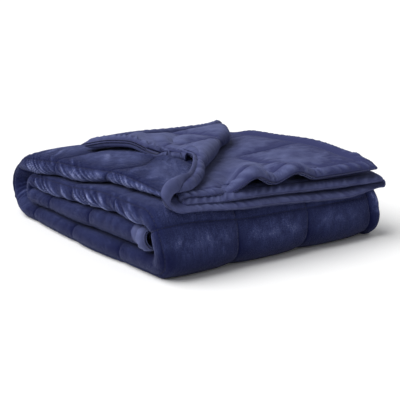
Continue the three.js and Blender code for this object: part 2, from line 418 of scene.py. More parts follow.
# the corner, wound over a roll along the crease and laid back
def turnBack(u, v):
    foot, angle, past = fromCrease(u, v)
    beyond = np.where(onTop(u, v), np.maximum(past, 0), 0)
    lies = beyond > 0
    at = np.where(lies, foot, bundle["topHem"] - u)
    short = np.where(lies, 0, np.minimum(v - long + creaseOffset(at), 0))
    slip = (creaseOffset(at) - creasePlace(at)) * ease((at - creaseLine["root"]) / flap["slipFade"])
    slip = slip * ease(1 + short / flap["slipReach"])
    slip = np.where(onTop(u, v), slip, 0) * ease((v - runA["begin"]) / flap["slipStart"])
    grown = ease((foot - flap["rollFrom"]) / (flap["rollTo"] - flap["rollFrom"]))
    radius = blend(flap["rollNear"], flap["rollFar"], grown)
    fullTurn = math.pi * blend(flap["standing"], 1, grown)
    wound = np.minimum(fullTurn, beyond / radius)
    laid = np.maximum(0, beyond - fullTurn * radius)
    loosened = ease((foot - flap["gatherFrom"]) / (flap["gatherTo"] - flap["gatherFrom"]))
    cuff = ease((flap["cuffFrom"] - at) / flap["cuffFade"])
    flat = blend(blend(flap["gather"], 1, loosened), flap["cuff"], cuff)
    out = radius * np.sin(wound) + laid * flat * np.cos(fullTurn)
    rolled = radius * (1 - np.cos(wound)) + laid * flat * np.sin(fullTurn)
    settling = ease(laid / flap["settle"])
    drooped = flap["droop"] * bump(np.hypot(u, long - v) / flap["droopReach"])
    sunk = settling * np.maximum(0, 2 * radius - flap["rest"]) + drooped * settling
    arch = flap["archHeight"] * bump((foot - flap["archAt"]) / flap["archWidth"])
    arch = arch * ease(laid / flap["settle"] - 1)
    rise = flap["rise"] * ease((laid - flap["riseFrom"]) / flap["riseFade"])
    wrinkled = softFolds(bundle["topHem"] - u, v - long, flapFolds) * ease(laid / flap["foldFade"])
    return dict(
        u=np.where(lies, bundle["topHem"] - foot - out * np.sin(angle), u),
        v=np.where(lies, long - creaseOffset(foot) + out * np.cos(angle), v) + slip,
        lift=np.where(lies, rolled + arch + rise + wrinkled - sunk, 0),
        turned=wound / math.pi,
        short=short,
        foot=foot,
    )


# how far the layers are pressed together at the near corner of the end hems
def cornerPress(y, v):
    towardsHem = ease((v - long + hems["pressLength"]) / hems["pressFade"])
    return hems["press"] * towardsHem * ease((hems["pressFrom"] - y) / hems["pressReach"])


# ruffle, loft and folds of the third thickness
def thirdRelief(s, y):
    swell = ease(1 - (long - s) / ruffle["depth"]) * ease((y - ruffle["start"]) / sheet["fade"])
    phase = np.clip((y - ruffle["start"]) / ruffle["length"], 0, ruffle["waves"])
    waved = ruffle["height"] * swell * (0.5 - 0.5 * np.cos(2 * math.pi * phase))
    return waved + hump(s - runA["begin"], y, loft) + softFolds(s - runA["begin"], y, folds)


# middle of the sheet, in the folded pile
def middle(u, v):
    turned = turnBack(u, v)
    y, n, heading, run = along(widthTrack, turned["u"])
    inTop, inThird = run == topNumber, run == thirdNumber
    beside = flap["tuckShare"] * ease((turned["v"] - long + flap["tuckLength"]) / flap["tuckFade"])
    bunched = np.where(inTop, beside * np.maximum(0, y - flap["tuckFrom"]), 0)
    towardsEnd = ease(1 - (long - turned["v"]) / hems["depth"])
    backShare = ease((y - bundle["front"]) / (bundle["back"] - bundle["front"]))
    spread = towardsEnd * blend(hems["near"], hems["far"], backShare)
    apart = (1 + spread) * (1 - cornerPress(y, turned["v"]))
    s = turned["v"] - hems["creep"] * towardsEnd * n / bundle["half"]
    py = y + turned["lift"] * np.sin(heading) - bunched
    pn = (n + bundle["half"]) * apart - bundle["half"] - turned["lift"] * np.cos(heading)
    pn = pn + np.where(inThird, thirdRelief(s, py), 0)
    cx, cz, way, bend = along(lengthTrack, s)
    pn = pn + np.where(onTop(u, v), hump(cx, py, pillow) * ease(-turned["short"] / pillow["fade"]), 0)

    # the noses are drawn in where the pile turns, and towards the end hems
    columns = lengthTrack["columns"]
    progress = (s - columns["begin"][bend]) / (columns["end"][bend] - columns["begin"][bend])
    draw = columns["dent"][bend] * pile["dent"] * np.sin(math.pi * progress) ** 2
    hollow = np.clip(0.5 - pn / (2 * bundle["half"]), 0, 1)
    nearNose = ease(1 - (py - bundle["front"]) / pile["dentReach"])
    towardsHem = ease((s - runA["begin"]) / pile["topLength"])
    drawnIn = hems["setback"] * towardsHem * ease(1 - (py - bundle["front"]) / hems["setbackReach"])

    # the far corners of the end hems run out into flat tips, and the lower ones sag
    fromHem = long - s
    nearEnd = ease(1 - fromHem / hems["tipDepth"])
    tip = nearEnd * ease((u - backEdge["begin"]) / hems["tipWidth"] + 1)
    tip = tip * ease((backEdge["end"] - u) / hems["tipWidth"] + 1)
    secondPlace = (bundle["half"] - 0.5 * sheet["pitch"]) * apart - bundle["half"]
    pn = pn - hems["tipFlat"] * tip * np.where(u < backEdge["end"], pn - secondPlace, 0)
    atBack = ease((py - hems["backFrom"]) / hems["backFade"])
    thirdTip = hems["thirdTip"] * np.where(inThird, nearEnd * atBack, 0)
    fromShoulder = s - shoulder["begin"] - hems["recedeAt"]
    recede = hems["recede"] * bump(fromShoulder / hems["recedeReach"]) * atBack
    sag = hems["sag"] * hollow * ease((py - hems["sagFrom"]) / hems["sagFade"])
    sag = sag * ease(1 - fromHem / hems["sagDepth"])
    aside = np.clip((u - 0.5 * (backEdge["begin"] + backEdge["end"])) / hems["tipTurn"], -1, 1)
    tipX, tipY, tipZ = hems["tip"]
    x = cx - pn * np.sin(way) + tipX * tip * aside + thirdTip
    y = py + draw * hollow * nearNose + drawnIn + tipY * tip - recede
    z = cz + pn * np.cos(way) + tipZ * tip - sag
    return settled(x, y, z)


# the pile under its own weight
def settled(x, y, z):
    left = ease((pile["leftFrom"] - x) / (pile["leftFrom"] - pile["leftTo"]))
    right = ease(x / pile["rightX"])
    near = ease((pile["nearFrom"] - y) / pile["nearFade"]) * right
    sunk = (1 - pile["leftDrop"] * left) * (1 - pile["edgeDrop"] * (y / pile["halfDepth"]) ** 2)
    tucked = pile["cornerTuck"] * right * ease(1 - z / pile["tuckHeight"])
    tucked = tucked * ease(-y / pile["halfDepth"])
    corner = pile["cornerRise"] * ease((x - pile["cornerFrom"]) / pile["cornerFade"])
    corner = corner + pile["midRise"] * bump((x - pile["midAt"]) / pile["midWidth"])
    plumped = corner * ease((pile["plumpFrom"] - y) / pile["plumpFade"]) * ease(z / pile["plumpHeight"])
    plumped = plumped * (1 - ease((z - pile["plumpTop"]) / pile["plumpTopFade"]))
    bulge = pile["leftBulge"] * bump((z - pile["bulgeAt"]) / pile["bulgeHeight"])
    lean = left * (pile["leftLean"] * (z - pile["leanAbout"]) - bulge)
    return np.stack([x + lean, y + tucked, z * sunk * (1 + pile["nearRise"] * near) + plumped], -1)


# Quilting

quilting = dict(
    boxes=2,
    perBox=42,
    boxSize=(0.168, 0.18),
    uneven=0.0005,
    seed=3,
    frames=20,
    pressure=4,
    grow=0.065,
    bending=0.06,
    tension=10,
    smoothing=12,
    pucker=0.7,
    liningPucker=1.4,
    turnSeed=11,
    plainCrown=25,
    plainRound=0.5,
)


# a patch of sewn boxes, blown up between its rows of stitching by a cloth simulation
def blowUp(settings):
    boxes, perBox = settings["boxes"], settings["perBox"]
    boxAcross, boxAlong = settings["boxSize"]
    n = boxes * perBox + 1
    x, y = np.meshgrid(np.linspace(0, boxes * boxAcross, n), np.linspace(0, boxes * boxAlong, n))
    z = settings["uneven"] * np.random.default_rng(settings["seed"]).random((n, n))
    index = np.arange(n * n).reshape(n, n)
    quads = np.stack([index[:-1, :-1], index[:-1, 1:], index[1:, 1:], index[1:, :-1]], -1).reshape(-1, 4)
    mesh = bpy.data.meshes.new("quiltPatch")
    mesh.from_pydata(np.stack([x, y, z], -1).reshape(-1, 3).tolist(), [], quads.tolist())
    patch = bpy.data.objects.new("quiltPatch", mesh)
    scene.collection.objects.link(patch)
    column, row = np.meshgrid(np.arange(n), np.arange(n))
    onRow = ((column % perBox == 0) | (row % perBox == 0)).ravel()
    sewn = patch.vertex_groups.new(name="sewn")
    sewn.add(np.nonzero(onRow)[0].tolist(), 1, "REPLACE")
    cloth = patch.modifiers.new("cloth", "CLOTH")
    cloth.settings.tension_stiffness = settings["tension"]
    cloth.settings.compression_stiffness = settings["tension"]
    cloth.settings.shear_stiffness = settings["tension"] / 3  # cloth gives more on the bias
    cloth.settings.bending_stiffness = settings["bending"]
    cloth.settings.use_pressure = True
    cloth.settings.uniform_pressure_force = settings["pressure"]
    cloth.settings.vertex_group_mass = "sewn"
    cloth.settings.shrink_min = -settings["grow"]
    cloth.settings.effector_weights.gravity = 0
    cloth.point_cache.frame_end = settings["frames"]
    for step in range(1, settings["frames"] + 1):
        scene.frame_set(step)
    blown = patch.evaluated_get(bpy.context.evaluated_depsgraph_get())
    heights = np.empty(n * n * 3, np.float32)
    blown.data.vertices.foreach_get("co", heights)
    heights = heights.reshape(n, n, 3)[:, :, 2] / mm
    bpy.data.objects.remove(patch)
    bpy.data.meshes.remove(mesh)
    scene.frame_set(1)
    return heights


# parts the crown of the boxes from their puckers
def crownAndPucker(heights):
    smooth = heights
    for _ in range(quilting["smoothing"]):
        smooth = np.pad(smooth, 1, mode="edge")
        smooth = (smooth[:-2] + 2 * smooth[1:-1] + smooth[2:]) / 4
        smooth = (smooth[:, :-2] + 2 * smooth[:, 1:-1] + smooth[:, 2:]) / 4
    return smooth / smooth.max(), heights - smooth


blown = blowUp(quilting)
crownTable, puckerTable = crownAndPucker(blown)
print("boxes blown up, crown", round(float(blown.max()), 1), "mm")


# number of the box between two rows, and the share of the way across it
def boxPlace(s, rows):
    number = np.clip(np.searchsorted(rows, s) - 1, 0, len(rows) - 2)
    return number, np.clip((s - rows[number]) / (rows[number + 1] - rows[number]), 0, 1)


# crown and pucker of the quilting: each box is one of the patch's four, turned one of four ways
def quilted(u, v):
    i, s = boxPlace(u, acrossRows)
    j, t = boxPlace(v, alongRows)
    many, choices = 32, 16
    picks = np.random.default_rng(quilting["turnSeed"]).integers(0, choices, (many, many))
    pick = picks[j % many, i % many]
    s, t = np.where(pick & 1, 1 - s, s), np.where(pick & 2, 1 - t, t)
    x = (s + (pick >> 2) % 2) * quilting["perBox"]
    y = (t + (pick >> 3) % 2) * quilting["perBox"]
    ix, iy = np.clip(x.astype(int), 0, len(blown) - 2), np.clip(y.astype(int), 0, len(blown) - 2)
    fx, fy = x - ix, y - iy

    def read(table):
        lower = blend(table[iy, ix], table[iy, ix + 1], fx)
        return blend(lower, blend(table[iy + 1, ix], table[iy + 1, ix + 1], fx), fy)

    return read(crownTable), read(puckerTable)


# filled height of the sheet between two rows, 0 on a row
def filled(s, rows):
    return np.maximum(np.sin(math.pi * boxPlace(s, rows)[1]), 0) ** sheet["fullness"]


# distance in from the edge, and the round of the hem there
def hemRound(u, v):
    inward = np.minimum(np.minimum(u, wide - u), np.minimum(v, long - v))
    share = np.clip(inward / sheet["border"], 0, 1)
    return inward, np.maximum(np.sin(math.pi * share ** hemEdge["lean"]), 0) ** hemEdge["roundness"]


# how far a face lies open, 0 where another thickness lies on it
def openness(u, v, side):
    turned = turnBack(u, v)
    onTopHere = onTop(u, v)
    endHem = hemEdge["endOpen"] * ease(1 - (long - v) / hemEdge["endReach"])
    if side < 0:
        y, _, _, run = along(widthTrack, u)
        uncovered = ease(fromCrease(bundle["topHem"] - y, v)[2] / sheet["fade"])
        onThird = (run == thirdNumber) & (v > runA["begin"])
        lies = np.where(onThird, uncovered, np.where(onTopHere, turned["turned"], 0))
        return np.maximum(lies, endHem)
    downRight = np.clip((v - shoulder["begin"]) / (footTurn["end"] - shoulder["begin"]), 0, 1)
    plain = np.where(onTopHere, 1 - ease(1 + fromCrease(u, v)[2] / sheet["fade"]), 1)
    leftFace = ease((v - leftTurn["begin"]) / sheet["fade"])
    outside = plain * np.maximum(np.sin(math.pi * downRight), leftFace)
    around = np.clip(math.pi * (u - frontEdge["begin"]) / frontEdge["length"], 0, math.pi)
    nose = np.where(around < math.pi / 2, blend(outside, 1, np.sin(around)), np.sin(around))
    nearHem = ease((flap["hemWidth"] - np.minimum(u, long - v)) / flap["hemFade"])
    nearHem = nearHem * ease((turned["foot"] - flap["hemFrom"]) / flap["hemGrow"])
    flapHem = flap["hemOpen"] * turned["turned"] * nearHem
    return np.maximum(np.where(u <= top["end"], np.maximum(outside, flapHem), nose), endHem)


# the filling is squeezed on the inside of the tightest turns
def pinch(u, v, side):
    tight = acrossRuns["inner edge"] if side > 0 else backEdge
    fold = bump((u - (tight["begin"] + tight["end"]) / 2) / sheet["squeezeReach"])
    coil = alongRuns["inner turn"]
    underNose = (u > (frontEdge["begin"] + frontEdge["end"]) / 2) & (u < second["begin"])
    winding = np.sin(math.pi * np.clip((v - coil["begin"]) / coil["length"], 0, 1))
    return sheet["squeeze"] * np.maximum(fold, np.where((side > 0) & underNose, winding, 0))


# the sheet thins towards its corners and the tip of its fold at the end hems
def endTaper(u, v):
    fold = bump((u - 0.5 * (backEdge["begin"] + backEdge["end"])) / taper["foldWidth"])
    fold = fold * ease(1 - (long - v) / taper["foldDepth"])
    corner = bump(np.hypot(wide - u, long - v) / taper["corner"])
    corner = corner + bump(np.hypot(u, long - v) / taper["flapCorner"])
    return taper["share"] * np.maximum(fold, corner)


# Creases where the sheet is bent around the front edges, and gathers along the hems

creases = [
    dict(run="A", height=4.0, length=20, slant=2.0, reach=8, sharp=3.2, seed=21),
    dict(run="A", height=3.2, length=11, slant=2.1, reach=6, sharp=2.2, seed=24),
    dict(run="A", height=1.6, length=52, slant=1.0, reach=60, sharp=1.5, seed=63),
    dict(run="left turn", height=2.6, length=17, slant=0.7, reach=30, sharp=3, seed=83),
    dict(run="B", height=4.6, length=29, slant=2.0, reach=18, sharp=2.6, seed=75),
    dict(run="B", height=2.8, length=13, slant=2.0, reach=8, sharp=2.2, seed=71),
    dict(run="B", height=3.0, length=60, slant=0.9, reach=60, sharp=1.5, seed=78),
    dict(run="C", height=1.6, length=14, slant=-1.0, reach=30, sharp=2, seed=33),
    dict(run="D", height=1.6, length=15, slant=-1.0, reach=30, sharp=2, seed=36),
]
creasing = dict(
    wander=1.3,
    wanderCell=1.9,
    wanderAcross=95,
    contrast=1.7,
    patch=41,
    shift=9,
    patchAcross=130,
    missing=0.05,
    strongest=1.2,
    leastReach=0.2,
    moreReach=1.4,
    reachCell=1.1,
    past=15,
    runFade=40,
    upFade=24,
    downFade=7,
)
gathers = [
    dict(height=4.4, length=22, slant=0.9, reach=64, sharp=1.6, seed=47),
    dict(height=2.6, length=12, slant=0.6, reach=48, sharp=1.4, seed=57),
]
gathering = dict(
    wander=0.9,
    wanderCell=1.7,
    wanderAcross=60,
    contrast=1.7,
    patch=33,
    shift=3,
    patchAcross=60,
    missing=0.1,
    strongest=1.2,
    leastReach=0.35,
    moreReach=0.9,
    reachCell=1.3,
    reachFade=26,
    edgeFade=5,
    seamFade=11,
    sideShare=0.3,
    endSeed=5,
)


# ridges with hollows between, narrower as they are sharper
def pleats(phase, sharp):
    return (0.5 + 0.5 * np.cos(2 * math.pi * phase)) ** sharp - 0.5 / sharp**0.5


# how creases wander, how strong they are and how far they reach, each differing along the row
def unevenness(slid, off, length, seed, how):
    wander = cloudy(slid / (how["wanderCell"] * length), off / how["wanderAcross"], seed)
    strength = cloudy(slid / how["patch"] + how["shift"], off / how["patchAcross"], seed + 1)
    strength = np.clip(how["contrast"] * strength - how["missing"], 0, how["strongest"])
    reach = cloudy(slid / (how["reachCell"] * length), slid * 0, seed + 2)
    return how["wander"] * length * wander, strength, how["leastReach"] + how["moreReach"] * reach


def noseCreases(u, v):
    total = np.zeros(u.shape)
    down = u - frontEdge["begin"]
    below = ease((frontEdge["length"] - down) / creasing["downFade"])
    for crease in creases:
        length = crease["length"]
        slid = v - crease["slant"] * down
        wander, strength, reach = unevenness(slid, down, length, crease["seed"], creasing)
        inRun = within(v, alongRuns[crease["run"]], creasing["past"], creasing["runFade"])
        above = ease((down + crease["reach"] * reach) / creasing["upFade"])
        height = crease["height"] * inRun * above * below * strength
        total += height * pleats((slid + wander) / length, crease["sharp"])
    return total


def hemGathers(u, v):
    total = 0
    fromSide, fromEnd = np.minimum(u, wide - u), np.minimum(v, long - v)
    edges = ((fromSide, v, 0, gathering["sideShare"]), (fromEnd, u, gathering["endSeed"], 1))
    for gather in gathers:
        length = gather["length"]
        for inward, lengthwise, seedShift, share in edges:
            slid = lengthwise + gather["slant"] * inward
            seed = gather["seed"] + seedShift
            wander, strength, reach = unevenness(slid, inward, length, seed, gathering)
            band = ease((gather["reach"] * reach - inward) / gathering["reachFade"])
            band = band * ease(inward / gathering["edgeFade"])
            band = band * ease(np.abs(inward - sheet["border"]) / gathering["seamFade"])
            height = share * gather["height"] * band * strength
            total = total + height * pleats((slid + wander) / length, gather["sharp"])
    return total


# Painted light and shade: the cloth's tone is painted lighter on ridges and where light falls, darker in
# creases, stitched seams and where shade falls

paintedShading = dict(perRelief=0.26, level=0.83, farDarker=0.65, farFrom=280, farFade=260)
# painted light and shade on the right-hand face
rightShading = dict(
    faceFade=40,
    faceEnd=50,
    upper=0.35,
    upperAt=-8,
    upperWidth=30,
    lowerFrom=-10,
    lowerFade=40,
    lowerEnd=60,
    faceShade=0.02,
    farEndShade=0.24,
    nearWidth=220,
)
# painted light on the upper noses and painted shade on the lower ones
noseShading = dict(
    lifts=(("A", 0.3, 0.25), ("B", 0.12, 0), ("C", -0.35, 0), ("D", -0.5, 0)),
    growFrom=150,
    growFade=150,
    past=20,
    runFade=50,
    at=26,
    width=13,
)
# painted light: the turned-out tongue is made lighter
tongue = dict(length=44, paintedLight=0.7)  # lining turned out at the end of the innermost bundle


# painted light along the top of the right-hand face, and painted shade over it that deepens towards its foot
# and its far end
def paintedShadingOnRight(u, v):
    face = ease((v - shoulder["begin"]) / rightShading["faceFade"])
    face = face * (1 - ease((v - footTurn["end"]) / rightShading["faceEnd"]))
    upper = bump((v - shoulder["end"] - rightShading["upperAt"]) / rightShading["upperWidth"])
    lower = ease((v - footTurn["begin"] - rightShading["lowerFrom"]) / rightShading["lowerFade"])
    lower = lower * (1 - ease((v - footTurn["end"]) / rightShading["lowerEnd"]))
    faceShade = rightShading["faceShade"] + rightShading["farEndShade"] * ease(1 - u / rightShading["nearWidth"])
    return rightShading["upper"] * upper - lower - face * faceShade


# painted light under the bulge of the upper noses, painted shade on the lower ones
def paintedShadingOnNoses(u, v):
    total = 0
    underBulge = bump((u - frontEdge["begin"] - noseShading["at"]) / noseShading["width"])
    for name, lift, grows in noseShading["lifts"]:
        run = alongRuns[name]
        lift = lift + grows * ease((v - run["begin"] - noseShading["growFrom"]) / noseShading["growFade"])
        total = total + lift * within(v, run, noseShading["past"], noseShading["runFade"]) * underBulge
    return total


# distance of a face from the middle of the sheet, and its painted light and shade
def halfThickness(u, v, side):
    fill = filled(u, acrossRows) * filled(v, alongRows)
    inward, hem = hemRound(u, v)
    inHem = inward < sheet["border"]
    rounded = np.where(inHem, hem, fill)
    opened = openness(u, v, side)
    turned = turnBack(u, v)
    smooth = 1
    if side < 0:
        smooth = flap["smooth"] * ease((flap["smoothFrom"] - turned["foot"]) / flap["smoothFade"])
    atEnd = hemEdge["endGather"] * ease(1 - (long - v) / hemEdge["endGatherReach"])
    gathered = np.maximum(opened, atEnd) * (1 - smooth * turned["turned"])
    gathered = gathered * (1 - flap["cornerSmooth"] * bump(np.hypot(u, long - v) / flap["cornerReach"]))
    crown, pucker = quilted(u, v)
    puckered = quilting["pucker"] if side > 0 else quilting["liningPucker"]
    relief = opened * np.where(inHem, 0, puckered * pucker * fill) + gathered * hemGathers(u, v)
    if side > 0:
        relief = relief + opened * noseCreases(u, v)
    relief = relief * rounded ** sheet["reliefPower"]
    swell = opened * sheet["openSwell"] * fill * blend(1, crown, sheet["crownShare"])
    box = blend(sheet["stitched"], sheet["puff"], fill) / 2 + swell
    full = hemEdge["openRoll"] * opened + hemEdge["flapRoll"] * turned["turned"] * (side < 0)
    band = blend(sheet["stitched"] / 2, hemEdge["roll"] + full, hem)
    under = 1 - ease(fromCrease(u, v)[2] / flap["underFade"]) * onTop(u, v)
    pressed = hems["pressThin"] * cornerPress(along(widthTrack, u)[0], v) * under
    thinned = np.minimum(pinch(u, v, side) + pressed + endTaper(u, v), sheet["mostSqueeze"])
    half = (1 - thinned) * np.where(inHem, band, box) + relief
    half = np.where(inward <= 0, hemEdge["thickness"] / 2, np.maximum(half, sheet["thinnest"]))
    # painted highlights on ridges and box crowns, painted shade in creases, puckers and the grooves of
    # stitched seams and hems
    reliefAndPaintedShading = paintedShading["perRelief"] * relief + gathered * (rounded - paintedShading["level"])
    if side > 0:
        # painted light and shade on the right-hand face and the noses, and painted light on the tongue
        reliefAndPaintedShading = reliefAndPaintedShading + paintedShadingOnRight(u, v) + paintedShadingOnNoses(u, v) + tongue["paintedLight"] * (v < tongue["length"])
    else:
        # painted shade: the lining of the third thickness grows darker towards its far back
        reliefAndPaintedShading = reliefAndPaintedShading - paintedShading["farDarker"] * ease((u - third["begin"] - paintedShading["farFrom"]) / paintedShading["farFade"])
    return half, reliefAndPaintedShading


# direction out of the plush side, felt over a short reach
def outward(u, v, reach):
    alongU = middle(u + reach, v) - middle(u - reach, v)
    alongV = middle(u, v + reach) - middle(u, v - reach)
    normal = np.cross(alongU, alongV)
    return normal / np.maximum(np.linalg.norm(normal, axis=-1, keepdims=True), 1e-9)


meshing = dict(
    hemLines=(0, 1.2, 3.5, 7, 11, 15.5, 20.5),  # in from the edge
    besideRow=2,
    clear=1,
    least=0.5,
    noseAbove=75,
    noseBelow=8,
    endBand=30,
    finerBand=80,
    shows=0.03,
    feel=0.4,
)


def facePoints(u, v, side):
    half, reliefAndPaintedShading = halfThickness(u, v, side)
    return middle(u, v) + side * outward(u, v, meshing["feel"]) * half[..., None], reliefAndPaintedShading


# lines of the mesh, each with the least detail that uses it: 0 where the sheet is folded away,
# 1 where it lies open, 2 on the noses and near the end hem
def gridLines(track, rows):
    hemLines, aside = meshing["hemLines"], meshing["besideRow"]
    lines, levels = list(hemLines), [0] * len(hemLines)
    last = track["length"] - hemLines[-1]
    stops = sorted([(row + beside, int(beside != 0)) for row in rows for beside in (-aside, 0, aside)])
    for run in track["runs"].values():
        first, final = run["begin"] + meshing["clear"], run["end"] - meshing["clear"]
        inRun = [(at, level) for at, level in stops if first < at < final]
        for stop, level in inRun + [(run["end"], 0)]:
            begin, stop = lines[-1], min(stop, last)
            if stop - begin < meshing["least"]:
                continue
            parts = max(1, round((stop - begin) / run["step"]))
            every = max(1, round(run["hidden"] / run["step"]))
            for part in range(1, parts + 1):
                lines.append(blend(begin, stop, part / parts))
                plain = 0 if part % every == 0 else 1 if part % 2 == 0 else 2
                levels.append(level if part == parts else plain)
    lines += [track["length"] - at for at in hemLines[-2::-1]]
    levels += [0] * (len(hemLines) - 1)
    return np.array(lines), np.array(levels)


us, levels = gridLines(widthTrack, acrossRows)
vs, _ = gridLines(lengthTrack, alongRows)
uGrid, vGrid = np.meshgrid(us, vs)
nose = (us > top["end"] - meshing["noseAbove"]) & (us < frontEdge["end"] + meshing["noseBelow"])


# lines across that one strip of a face uses
def linesUsed(v, side):
    if v > long - meshing["endBand"]:
        return np.ones(len(us), bool)
    shows = openness(us, np.full(len(us), v), side) > meshing["shows"]
    detail = np.where(nose & (side > 0), 2, np.where(shows, 1, 0))
    if v < vs[1]:
        detail = np.where(nose, 2, 0)
    if v > long - meshing["finerBand"]:
        detail = np.where(shows, 2, detail)
    return levels <= detail


# one face of the sheet: its points, their places on the cloth, and the lines and strips that they form
def makeFace(side):
    strips = [linesUsed((vs[j] + vs[j + 1]) / 2, side) for j in range(len(vs) - 1)]
    inUse = np.array([strips[max(j - 1, 0)] | strips[min(j, len(strips) - 1)] for j in range(len(vs))])
    number = np.cumsum(inUse.ravel()).reshape(inUse.shape) - 1
    u, v = uGrid[inUse], vGrid[inUse]
    points, reliefAndPaintedShading = facePoints(u, v, side)
    uv = np.stack([u, v], -1) * mm
    return dict(points=points, reliefAndPaintedShading=reliefAndPaintedShading, uv=uv, strips=strips, inUse=inUse, number=number)


plushSide, liningSide = makeFace(1), makeFace(-1)
lowest = min(plushSide["points"][:, 2].min(), liningSide["points"][:, 2].min())


# into the part's own frame, pressed flat where it rests
def placed(points):
    height = points[..., 2] - lowest
    height = height * ease((height - pile["pressedTo"]) / pile["pressedFade"])
    return np.stack([points[..., 0] - pile["centreX"], points[..., 1] - pile["centreY"], height], -1) * mm


print("sheet folded,", len(us), "by", len(vs), "lines")


# Materials


def colour(code):
    parts = [int(code[k : k + 2], 16) / 255 for k in (1, 3, 5)]
    return [x / 12.92 if x <= 0.04045 else ((x + 0.055) / 1.055) ** 2.4 for x in parts] + [1]


# scale of a pattern with cells of this many millimetres, on a map in metres
def perMetre(size):
    return 1 / (size * mm)


def addNode(tree, kind, settings=None, links=None):
    node = tree.nodes.new(kind)
    for name, value in (settings or {}).items():
        if isinstance(name, int) or name in node.inputs:
            node.inputs[name].default_value = value
        else:
            setattr(node, name, value)
    for name, source in (links or {}).items():
        tree.links.new(source, node.inputs[name])
    return node


def newMaterial(name):
    material = bpy.data.materials.new(name)
    material.use_nodes = True
    tree = material.node_tree
    return material, tree, tree.nodes["Principled BSDF"]


def setAll(shader, values):
    for name, value in values.items():
        shader.inputs[name].default_value = value


# sizes in millimetres; the shares say how much each pattern lightens the nap, and how much painted light and
# shade is mixed in
plushLook = dict(
    patch=22.222,
    patchShare=0.36,
    streak=(3.0303, 11.111),
    streakShare=0.4,
    tuft=1.6129,  # the pile is about 0.3 mm across; it is drawn this coarse so that it shows
    tuftShare=0.7,
    paintedShadingShare=0.45,
    # the darkest tones show mostly in painted shade, the lightest mostly in painted highlights
    tones=((0.4, "#12163a"), (0.7, "#252b50"), (0.88, "#3e4570"), (1.0, "#70779f")),
    tuftRelief=0.8,
    relief=0.9,
    reliefDepth=2.2,
)


# Short pile polyester plush, brushed: the nap lies in patches, with a soft sheen; highlights are painted
# lighter on ridges and shade painted darker in creases
def plushMaterial(look):
    material, tree, shader = newMaterial("polyester plush")
    cloth = addNode(tree, "ShaderNodeUVMap", dict(uv_map="cloth")).outputs["UV"]
    paintedLightAndShade = addNode(tree, "ShaderNodeAttribute", dict(attribute_name="reliefAndPaintedShading")).outputs["Fac"]
    patchSettings = dict(Scale=perMetre(look["patch"]), Detail=4, Roughness=0.6)
    patches = addNode(tree, "ShaderNodeTexNoise", patchSettings, dict(Vector=cloth)).outputs["Fac"]
    streakAcross, streakAlong = look["streak"]
    combing = dict(Scale=(perMetre(streakAcross), perMetre(streakAlong), 1))
    combed = addNode(tree, "ShaderNodeMapping", combing, dict(Vector=cloth)).outputs["Vector"]
    streakSettings = dict(Scale=1, Detail=3, Roughness=0.65)
    streaks = addNode(tree, "ShaderNodeTexNoise", streakSettings, dict(Vector=combed)).outputs["Fac"]
    tuftSettings = dict(Scale=perMetre(look["tuft"]), Detail=2, Roughness=0.7)
    tufts = addNode(tree, "ShaderNodeTexNoise", tuftSettings, dict(Vector=cloth)).outputs["Fac"]

    # the patterns and the painted highlights and shade from the mesh together choose the tone
    share = {1: look["tuftShare"], "operation": "MULTIPLY"}
    standing = addNode(tree, "ShaderNodeMath", share, {0: tufts}).outputs[0]
    for pattern, amount in ((streaks, "streakShare"), (patches, "patchShare"), (paintedLightAndShade, "paintedShadingShare")):
        share = {1: look[amount], "operation": "MULTIPLY_ADD"}
        standing = addNode(tree, "ShaderNodeMath", share, {0: pattern, 2: standing}).outputs[0]
    ramp = addNode(tree, "ShaderNodeValToRGB", {}, dict(Fac=standing))
    stops = ramp.color_ramp.elements
    for place, _ in look["tones"][1:-1]:
        stops.new(place)
    for stop, (place, tone) in zip(stops, look["tones"]):
        stop.position = place
        stop.color = colour(tone)
    tree.links.new(ramp.outputs["Color"], shader.inputs["Base Color"])

    share = {1: look["tuftRelief"], "operation": "MULTIPLY_ADD"}
    height = addNode(tree, "ShaderNodeMath", share, {0: tufts, 2: streaks}).outputs[0]
    depth = dict(Strength=look["relief"], Distance=look["reliefDepth"] * mm)
    reliefAndPaintedShading = addNode(tree, "ShaderNodeBump", depth, dict(Height=height))
    tree.links.new(reliefAndPaintedShading.outputs["Normal"], shader.inputs["Normal"])
    setAll(
        shader,
        {
            "Roughness": 0.95,
            "IOR": 1.45,
            "Specular IOR Level": 0.1,
            "Sheen Weight": 0.32,
            "Sheen Roughness": 0.35,
            "Sheen Tint": colour("#a4abd6"),
        },
    )
    return material


liningLook = dict(
    patch=25,
    paintedShadingShare=0.55,
    tones=((0.15, "#2c3058"), (0.75, "#4f557c")),
    thread=1.4706,  # threads are about 0.25 mm apart; they are drawn this coarse so that they show
    relief=0.3,
    reliefDepth=0.8,
)


